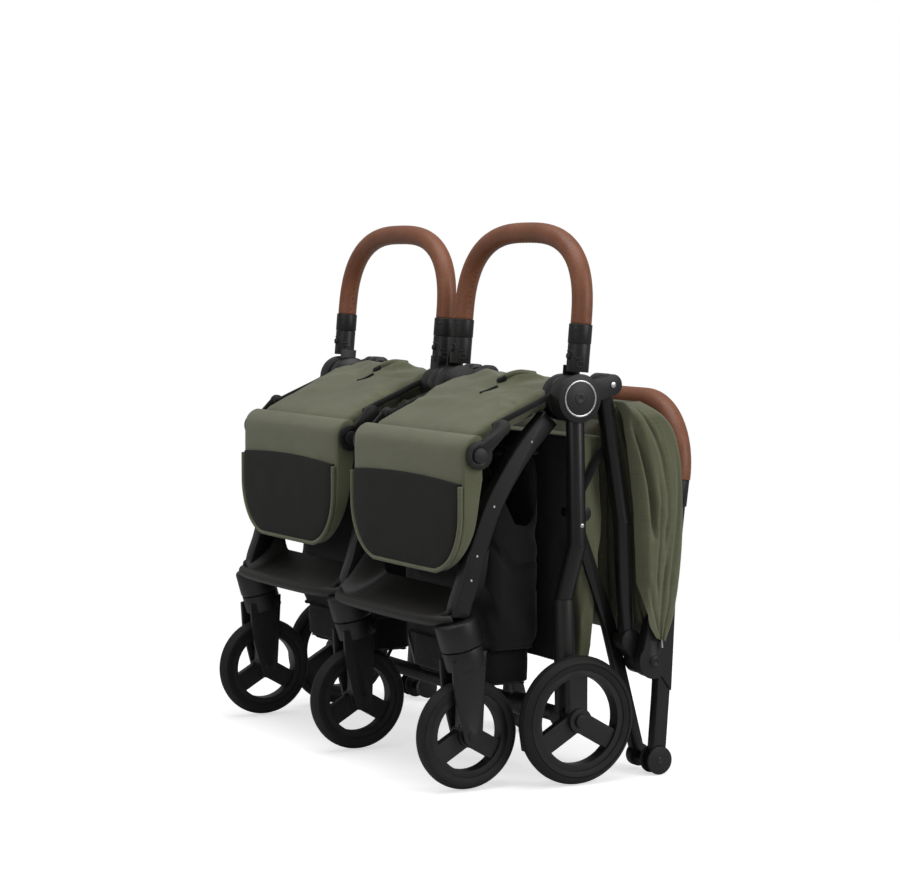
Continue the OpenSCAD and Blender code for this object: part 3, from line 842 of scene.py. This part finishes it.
for side, s in SIDES.items():
    seat = sweep(f"seat_cover_{side}", SEAT_SIDE, s * 46.0, s * 334.0, 12)
    swell(seat, 0.005, 0.005, hold=lambda co: co.y > 0.026)
    for v in seat.data.vertices:
        x, y, z = v.co.x * 1000, v.co.y * 1000 + MID_Y, v.co.z * 1000
        across = abs(x) if s > 0 else 376 - abs(x)
        loose = min(1.0, max(0.0, (y - 20) / 60))
        small = wrinkle((x, y, z), 11.3 * s, (0.010, 0.028, 0.01), 2.6)
        small += wrinkle((x + y * 0.8, y, z), 2.2, (0.03, 0.03, 0.02), 1.3)
        lift = sum(ridge(across, y, *fold) for fold in SEAT_FOLDS)
        on_top = 1.0 if z > 470 + (y - 10) * 0.3 else 0.0
        back_end = min(1.0, max(0.0, (182 - y) / 22))
        v.co.z += (lift * (0.35 + 0.65 * back_end) + small * loose) * on_top / 1000
        lip = ridge(across, y, *SEAT_FOLDS[0])
        v.co.y -= 0.6 * lip * on_top / 1000
    map_flat(seat, (1, 0, 0), (0, 0.95, 0.4))
    finish_piece(seat, olive_cloth, "seats", "olive_fabric", f"seat_{side}")
    for x in (s * 340, s * 42):
        path = cord_line([at(x, y, z) for y, z in BINDING], 40)
        made = tube_along(f"seat_binding_{side}_{abs(x)}", path, 0.0042, 10)
        finish_piece(made, webbing, "seats", "black_fabric")
    strap, roll, mouth = (on_seat(seat, [(s * 190 - 190 + x, y, z) for x, y, z in line]) for line in (STRAP, ROLL, FOLD_SHADOW))
    made = tube_along(f"crotch_strap_{side}", cord_line(strap, 24), 0.0024, 12)
    finish_piece(made, webbing, "seats", "black_fabric")
    made = tube_along(f"seat_roll_{side}", cord_line(roll, 30), 0.0052, 20)
    finish_piece(made, olive_cloth, "seats", "olive_fabric")
    # A black tube under the fold's lip: painted shadow.
    made = tube_along(f"seat_fold_shadow_{side}", cord_line(mouth, 12), 0.0045, 16)
    finish_piece(made, black_cloth, "seats", "black_fabric")
print("seats done")

# %% [markdown]
# A folded canopy hangs behind the seats as one slack bag of cloth that narrows to a tip over the joint below. A side
# cover hangs outside the handle's posts and shows creases between soft lobes. Each crease is a line across the side,
# with its own width and depth.

# %% Canopies
CANOPY_FRONT = [
    (236, 517), (238, 483), (244, 444), (250, 405), (254, 367), (256, 328), (258, 289), (261, 250), (264, 214), (276, 192),
]
CANOPY_BACK = [
    (262, 517), (298, 483), (312, 444), (317, 405), (318, 364), (317, 325), (314, 286), (308, 247), (297, 209), (288, 186),
]
CANOPY_CREASES = [  # width and depth, then places: how far down, and how far from front to back
    (0.075, 17, [(0.03, 0.10), (0.12, 0.15), (0.25, 0.22), (0.36, 0.27), (0.47, 0.29), (0.60, 0.31)]),
    (0.045, 7, [(0.02, 0.36), (0.15, 0.50), (0.25, 0.58), (0.40, 0.64), (0.50, 0.63), (0.64, 0.54)]),
    (0.050, 8, [(0.20, 0.90), (0.40, 0.89), (0.50, 0.86), (0.60, 0.82), (0.70, 0.77), (0.85, 0.74), (1.0, 0.70)]),
    (0.060, 10, [(0.56, 0.70), (0.70, 0.60), (0.80, 0.55), (0.90, 0.52), (1.0, 0.52)]),
    (0.060, 7, [(0.74, 0.10), (0.86, 0.20), (0.93, 0.34), (1.0, 0.45)]),
    (0.035, 4, [(0.30, 0.46), (0.42, 0.47), (0.56, 0.44), (0.72, 0.36), (0.84, 0.36)]),
]
SIDE_DEPTH = 26
SIDE_START, SIDE_END, BACK_END = 0.28, 0.68, 0.95  # where the bag's outline turns its corners
COVER_X = 372.5
COVER_THICK = 3.2
CANOPY_STEPS = 100
CANOPY_EDGES = [
    curve_points([Vector((y, z, 0)) for y, z in line], CANOPY_STEPS + 1) for line in (CANOPY_FRONT, CANOPY_BACK)
]


def line_at(places, key):
    """The value at a key, on straight lines between (key, value) places."""
    for (k0, v0), (k1, v1) in zip(places, places[1:]):
        if key <= k1:
            return v0 + (v1 - v0) * min(max((key - k0) / (k1 - k0), 0.0), 1.0)
    return places[-1][1]


def crease_depth(down, share):
    """How deep the creases are at a place: down the canopy, and a share of the way from its front to its back."""
    total = 0.0
    for width, depth, places in CANOPY_CREASES:
        first, last = places[0][0], places[-1][0]
        if first <= down <= last:
            ends = math.sin(math.pi * min(1.0, (down - first) / 0.16) / 2)
            if last < 1.0:
                ends *= math.sin(math.pi * min(1.0, (last - down) / 0.12) / 2)
            total += depth * ends * math.exp(-(((share - line_at(places, down)) / width) ** 2))
    return total


def edges_at(v):
    """The front and back edge of the side, as y and z, at a share of the way down."""
    i = min(int(v * CANOPY_STEPS), CANOPY_STEPS - 1)
    return tuple(edge[i].lerp(edge[i + 1], v * CANOPY_STEPS - i) for edge in CANOPY_EDGES)


def side_folds(place, s, amount):
    return wrinkle((place.x * 1.5 + place.y * 0.3, place.y, 0), 7.1 * s, (0.035, 0.011, 0), amount)


def canopy(side, s):
    x_in, x_out = 49.0 if side == "right" else 63.0, 344.0

    def skin(u, v):
        """u goes round the bag: its front, its outer side, its back and its inner end. v goes down it."""
        near, far = edges_at(v)
        close = min(1.0, v / 0.05, (1 - v) / 0.12)
        close = math.sqrt(max(0.0, 1 - (1 - close) ** 2))
        mid = (near + far) / 2
        near, far = mid.lerp(near, 0.25 + 0.75 * close), mid.lerp(far, 0.25 + 0.75 * close)
        deep = SIDE_DEPTH * min(1.0, (far - near).length / 50)
        slack = 6 * math.sin(math.pi * v)
        if SIDE_START <= u < SIDE_END:
            t = (1 - math.cos(math.pi * (u - SIDE_START) / (SIDE_END - SIDE_START))) / 2
            place = near.lerp(far, t)
            x = x_out - deep * (1 - math.sqrt(max(0.0, 1 - (2 * t - 1) ** 2)) ** 0.75)
            x -= crease_depth(v, t) * min(1.0, close * 1.5)
            x += side_folds(place, s, 2.2) * close - 2.0
        else:
            width = x_out - deep - x_in
            if u < SIDE_START:
                x, place, outward = x_in + width * u / SIDE_START, near, -1
            elif u < BACK_END:
                x, place, outward = x_in + width * (BACK_END - u) / (BACK_END - SIDE_END), far, 1
            else:
                x, place, outward = x_in, far.lerp(near, (u - BACK_END) / (1 - BACK_END)), 0
            inner = min(1.0, (x_in + width - x) / 40)
            fold = wrinkle((x, place.y, place.x), 3.1 * s, (0.011, 0.005, 0.0), 6.0)
            fold += wrinkle((x, place.y, 0), 5.3 * s, (0.03, 0.007, 0), 2.0) - 4
            place = place + Vector((outward * fold * inner * close, 0, 0))
        return at(s * x, place.x, place.y - slack * (1 - abs(2 * (x - x_in) / (x_out - x_in) - 1) ** 2))

    bag = cloth_grid(f"canopy_bag_{side}", 240, 110, skin, closed=True, capped=True)

    def cover(u, v):
        """The side cover hangs outside the posts: u runs over its face from front to back, then back inside it."""
        near, far = edges_at(v)
        near = near + Vector((-4, 0, 0))
        t = (1 - math.cos(math.pi * min(u * 2, 2 - u * 2))) / 2
        place = near.lerp(far, t)
        clear = min(1.0, max(0.0, (265 - place.y) / 40))
        face = COVER_X + 3.5 * clear
        face -= 24 * max(0.0, 1 - t / 0.16) ** 2 * (1 - clear) + 3 * max(0.0, (t - 0.88) / 0.12) ** 2
        face -= 26 * max(0.0, 1 - v / 0.09) ** 2
        free = max(0.0, 1 - t / 0.62) ** 0.5 * (1 - clear)
        lobes = crease_depth(v, t) * (0.35 + 0.65 * free)
        lobes -= side_folds(place, s, 2.6) * (0.4 + 0.6 * free)
        face -= min(lobes, 4.0 + 16 * free)
        edge = min(t, 1 - t) * (far - near).length / 3
        thick = COVER_THICK * math.sqrt(max(0.0, 1 - (1 - min(1.0, edge, (1 - v) * 40, v * 40)) ** 2))
        return at(s * (face if u < 0.5 else face - thick), place.x, place.y)

    return bag, cloth_grid(f"canopy_side_{side}", 220, 150, cover, closed=True, capped=True)


for side, s in SIDES.items():
    bag, side_cover = canopy(side, s)
    finish_piece(side_cover, olive_cloth, "canopies", "olive_fabric")
    # The bag behind the side cover takes the darker olive weave, as painted shade.
    finish_piece(bag, olive_painted_shade, "canopies", "olive_fabric", f"canopy_{side}")
    path = ends_closer([at(s * 374, 282, 190), at(s * 374, 283, 178)], 0.001)
    tack = tube_along(f"canopy_tack_{side}", path, 0.0016, 10)
    finish_piece(tack, bright_metal, "canopies", "bright_metal")
print("canopies done")

# %% [markdown]
# A footrest is one moulding between two front legs: a bowed lip in front, a floor that rises towards the back, and
# ends that sweep up into the legs. It is drawn as a grid, thickened, and given a round lip.

# %% Footrest trays
FRONT_TRAY = -40


def tray(side, s):
    node = f"footrest_{side}"

    def floor_of(u, v):
        """u runs from the middle leg out to the outer leg, v from the lip to the back edge."""
        share = 2 * u - 1
        x = 8 + (328 - 8) * u
        side_rise = max(0.0, (abs(share) - 0.8) / 0.2) ** 2.4
        bow = 9 * (1 - share**2)
        y = FRONT_TRAY - bow + (34 - FRONT_TRAY + bow) * v + 10 * side_rise * (1 - v)
        lip = math.exp(-((v / 0.06) ** 2))
        z = 226 + 9 * lip * (1 - side_rise) + 32 * v**1.6 + side_rise * (14 + 54 * v)
        return at(s * x, y, z)

    made = cloth_grid(node + "_tray", 72, 40, floor_of)
    modify(made, "SOLIDIFY", thickness=0.0055, offset=0)
    modify(made, "BEVEL", width=0.0022, segments=3, limit_method="ANGLE", angle_limit=math.radians(50))
    finish_piece(made, tray_nylon, body_of(node), "plastic_black", node)
    lip_line = []
    for i in range(25):
        share = abs(i / 12 - 1)
        y = FRONT_TRAY - 9 * (1 - share**2) - 0.5 + 19 * share**12
        lip_line.append(at(s * (6 + 325 * i / 24), y, 229 + 3 * share**8))
    made = tube_along(f"tray_lip_{side}", cord_line(lip_line, 60, 0.003), 0.0072, 16)
    finish_piece(made, tray_nylon, body_of(node), "plastic_black")


for side, s in SIDES.items():
    tray(side, s)
print("trays done")

# %% [markdown]
# Behind the seats, a sling of olive cloth hangs between the rear legs, creased by the fold, with a black lining in front
# of it and a black strap across it. The padded backrest lies behind it on the pusher.

# %% Slings and backrests
STRAP_LINE = [(168, 372), (186, 402), (207, 436), (226, 462)]
BACK_SIDE = [(233, 222), (233, 495), (248, 495), (248, 222)]
for side, s in SIDES.items():

    def sling(u, v, s=s):
        """A slack bag of cloth: u goes round it, v goes up."""
        share, depth = squircle(u * 2 * math.pi, 0.35)
        x_mid, half = (183.0, 139.0) if s > 0 else (190.0, 132.0)
        z = 152 + 316 * v
        slack = max(0.0, math.sin(math.pi * v)) ** 0.3
        x = x_mid + share * (half - 3)
        y = 200 + depth * (12 + 12 * min(1, v * 2.2))
        tall = wrinkle((x, y, z), 7.7 * s, (0.016, 0.035, 0.006), 9.0)
        tall += wrinkle((x + z, y, z), 1.9, (0.016, 0.05, 0.012), 3.0)
        fold = (tall - 6) * slack * 0.7
        taper = 1 - 0.12 * (1 - v) ** 2
        return at(s * (x_mid + (x - x_mid) * taper + share * fold), 200 + (y - 200) * taper + depth * fold, z)

    made = cloth_grid(f"sling_{side}", 120, 72, sling, closed=True, capped=True)
    finish_piece(made, olive_cloth, "rear_frame", "olive_fabric", f"back_sling_{side}")

    def apron(u, v, s=s):
        """The black lining in front of the sling."""
        share, depth = squircle(u * 2 * math.pi, 0.35)
        x, z = 162 + share * 161, 158 + 312 * v
        return at(s * x, 163 + depth * 3 + wrinkle((x, z, 0), 3.3 * s, (0.012, 0.006, 0), 3.0), z)

    lining = cloth_grid(f"sling_lining_{side}", 120, 60, apron, closed=True, capped=True)
    finish_piece(lining, black_cloth, "rear_frame", "black_fabric")
    path = cord_line([at(s * 324, y, z) for y, z in STRAP_LINE], 24)
    strap = tube_along(f"sling_strap_{side}", path, 0.006, 12)
    finish_piece(strap, webbing, "rear_frame", "black_fabric")

    made = sweep(f"back_pad_{side}", BACK_SIDE, s * (52.0 if s > 0 else 64.0), s * 297.0, 10)
    swell(made, 0.006, 0.006)
    map_flat(made, (1, 0, 0), (0, 0.3, 1))
    # The backrest takes the darker olive weave, as painted shade.
    finish_piece(made, olive_painted_shade, "pusher", "olive_fabric", f"backrest_{side}")

# %% [markdown]
# Each basket is a sewn tub of thin black cloth, open at the top and slack when folded, so its walls fall in deep soft
# folds and its outer side sags. A drawcord runs round its mouth, and a smaller pocket is sewn on below.

# %% Baskets
SAG_LINES = [  # start, end, width and height of the folds that hang from the basket's mouth, as y, z in the side view
    ((74, 312), (150, 314), 11, 9), ((50, 330), (84, 288), 8, -8), ((84, 288), (146, 306), 7, -9),
    ((104, 318), (60, 420), 9, 7), ((120, 300), (134, 200), 10, 8), ((98, 280), (92, 200), 9, -7),
    ((60, 300), (70, 200), 9, 6), ((148, 300), (118, 240), 7, -6),
]
FLOOR_SHARE = 0.25  # the share of a basket's rows that make its floor
HEM = [(60, 48), (175, 46), (292, 48), (301, 60), (301, 122), (292, 134)]


def tub(name, x0, x1, y0, y1, low, high, seed, depth, droop=True):
    """Walls and floor of a bag as one grid: rows go from the middle of the floor outwards and up the walls."""

    def skin(u, v):
        sx, sy = squircle(u * 2 * math.pi, 0.28)
        outer = max(0.0, sx * math.copysign(1, x0)) ** 6 if droop else 0.0
        y_side = (y0 + y1) / 2 + sy * ((y1 - y0) / 2)
        top = high - outer * line_at([(y0, 20), (70, 60), (98, 112), (124, 92), (y1, 50)], y_side)
        up = (v - FLOOR_SHARE) / (1 - FLOOR_SHARE)
        share, z = (1.0, low + 1 + (top - low - 1) * up) if up >= 0 else (v / FLOOR_SHARE, low + 1)
        corner = 6 * math.exp(-(((v - FLOOR_SHARE) / 0.04) ** 2)) if up >= 0 else 0
        x = (x0 + x1) / 2 + sx * share * ((x1 - x0) / 2 - 2 - corner)
        y = (y0 + y1) / 2 + sy * share * ((y1 - y0) / 2 - 2 - corner)
        if up >= 0:
            rise = min(1.0, (v - FLOOR_SHARE) / 0.15)
            fold = wrinkle((x + y, y, z + 1.1 * y), seed, (0.006, 0.012, 0.010), depth * 1.5)
            fold += wrinkle((x + z, y, z - 0.8 * y), seed + 4, (0.012, 0.02, 0.016), depth * 0.7)
            fold = (fold - 1.3 * depth) * rise * min(1.0, (1 - v) / 0.08 + 0.25)
            for line in SAG_LINES:
                fold += outer * ridge(y_side, z, *line)
            fold = min(fold, 1.0)
            x += sx * fold * 0.8
            y += sy * fold * 0.8
        return at(x, y, z)

    made = cloth_grid(name, 120, 72, skin, closed=True)
    modify(made, "SOLIDIFY", thickness=0.0018, offset=-1)
    return made


for side, s in SIDES.items():
    x0, x1 = sorted((s * 46.0, s * 303.0))
    made = tub(f"basket_bag_{side}", x0, x1, 45, 137, 178, 450, 5.0 * s, 7.0)
    finish_piece(made, black_cloth, "rear_frame", "black_fabric", f"basket_{side}")
    x0, x1 = sorted((s * 60.0, s * 289.0))
    pocket = tub(f"basket_pocket_{side}", x0, x1, 52, 130, 128, 181, 2.0 * s, 2.0, droop=False)
    finish_piece(pocket, black_cloth, "rear_frame", "black_fabric")
    path = curve_points([at(s * x, y, 448) for x, y in HEM], 24)
    made = tube_along(f"basket_hem_{side}", path, 0.003, 12, ends=(0.02,))
    finish_piece(made, webbing, "rear_frame", "black_fabric")
print("baskets done")

# %% [markdown]
# Small fittings make the moulded parts read as real: bent slots and screws on the bumper sockets, rivets along the
# legs, a screw in each joint, and a pull strap under the baskets. Rivets and screws are low domes from one function.

# %% Rivets, latches and the pull strap


def dome(name, place, way, radius, height, material, body, slot_name):
    """A low dome on a face, with a dimple in its middle."""
    way = Vector(way).normalized()
    side = way.orthogonal().normalized()
    over = way.cross(side)
    steps = [(1.0, -0.3), (1.0, 0.25), (0.92, 0.6), (0.7, 0.92), (0.42, 1.0), (0.36, 0.72), (0.0, 0.7)]

    def skin(u, v):
        r, h = steps[min(int(round(v * (len(steps) - 1))), len(steps) - 1)]
        turn = 2 * math.pi * u
        return place + (side * math.cos(turn) + over * math.sin(turn)) * r * radius + way * h * height

    made = cloth_grid(name, 16, len(steps) - 1, skin, closed=True, capped=True)
    return finish_piece(made, material, body, slot_name)


LEG_RIVETS = [(96, 466), (38, 381), (12, 316), (3, 284)]
for i, (y, z) in enumerate(LEG_RIVETS):
    for x, face in ((337.0, 1), (-337.0, -1), (11.0, 1), (-11.0, -1)):
        name = f"leg_rivet_{i}_{'p' if x > 0 else 'n'}{abs(int(x))}"
        material = bright_metal if abs(x) > 100 else button_nylon
        dome(name, at(x, y, z), (face, 0, 0), 0.0017, 0.0007, material, "front_frame", "bright_metal")


def on_bar(x, turn, height, out):
    """A place on a bumper socket at x: an angle round it from the front, and a height along it from the hub."""
    ahead = Vector((math.sin(turn), -math.cos(turn) * math.cos(LEAN), math.cos(turn) * math.sin(LEAN)))
    foot = at(x, HUB[0], HUB[1]) + Vector((0, math.sin(LEAN), math.cos(LEAN))) * (height / 1000)
    return foot + ahead * (out / 1000), ahead


SLOT = [(-0.9, 63), (-0.3, 63), (0.0, 61), (0.12, 57), (0.3, 54), (0.9, 54)]  # angle round the socket, and height
LATCH = [(1.0, 49), (1.5, 49), (1.5, 43), (1.0, 43), (1.0, 49)]
SOCKET_TURN = 0.55
for i, x in enumerate((353.0, 27.4, -27.4, -353.0)):
    path = cord_line([on_bar(x, turn + SOCKET_TURN, h, 15.3)[0] for turn, h in SLOT], 36, 0.001)
    made = tube_along(f"socket_slot_{i}", path, 0.0011, 8)
    finish_piece(made, button_nylon, "bumper_mounts", "plastic_black")
    path = cord_line([on_bar(x, turn, h, 15.2)[0] for turn, h in LATCH], 40, 0.001)
    made = tube_along(f"socket_latch_{i}", path, 0.0012, 8)
    finish_piece(made, button_nylon, "bumper_mounts", "plastic_black")
    place, ahead = on_bar(x, SOCKET_TURN, 92, 15.9)
    side = "right" if x > 0 else "left"
    dome(f"collar_screw_{i}", place, ahead, 0.0026, 0.0009, button_nylon, f"bumper_bar_{side}", "plastic_black")

for side, s in SIDES.items():
    for name, place, radius, height, material, body in [
        ("joint_screw", (371.0, *FOLD), 0.0085, 0.002, moulded, "upper_pusher"),
        ("foot_screw", (369.0, 284, 20), 0.005, 0.001, button_nylon, "upper_pusher"),
        ("hub_dimple", (367.4, *HUB), 0.009, 0.0007, button_nylon, "rear_frame"),
    ]:
        x, y, z = place
        dome(f"{name}_{side}", at(s * x, y, z), (s, 0, 0), radius, height, material, body, "plastic_black")

PULL = [(-60, 90, 134), (-61, 84, 122), (-60, 80, 106), (-57, 78, 92), (-60, 77, 84), (-64, 78, 90), (-62, 81, 104)]
made = tube_along("pull_strap", cord_line([at(*place) for place in PULL], 60), 0.0026, 10)
finish_piece(made, webbing, "rear_frame", "black_fabric")
print("fittings done")

# %% [markdown]
# The last cell lays a white floor and measures the box of the finished model.

# %% Floor, size and finish
bpy.ops.mesh.primitive_plane_add(size=16, location=(0, 0, -0.0004))
floor = bpy.context.object
floor.name = "studio_floor"
paper = Finish("white_paper")
far = paper.node("ShaderNodeVectorMath", {"operation": "LENGTH"}, {0: paper.place()}, 1).clamp(0.45, 1.3)
glow = paper.node("ShaderNodeLightPath").math("MULTIPLY", paper.node("ShaderNodeLightPath"), 0.6)
lit = paper.node("ShaderNodeAddShader", {}, {
    0: paper.node("ShaderNodeBsdfDiffuse", {}, {"Color": (0.78, 0.78, 0.78, 1)}),
    1: paper.node("ShaderNodeEmission", {}, {"Strength": glow}),
})
surface = paper.node("ShaderNodeMixShader", {}, {0: far, 1: lit, 2: paper.node("ShaderNodeBsdfTransparent")})
paper.tree.links.new(surface.socket, paper.tree.nodes["Material Output"].inputs["Surface"])
floor.data.materials.append(paper.material)
floor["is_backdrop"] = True

low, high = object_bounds()
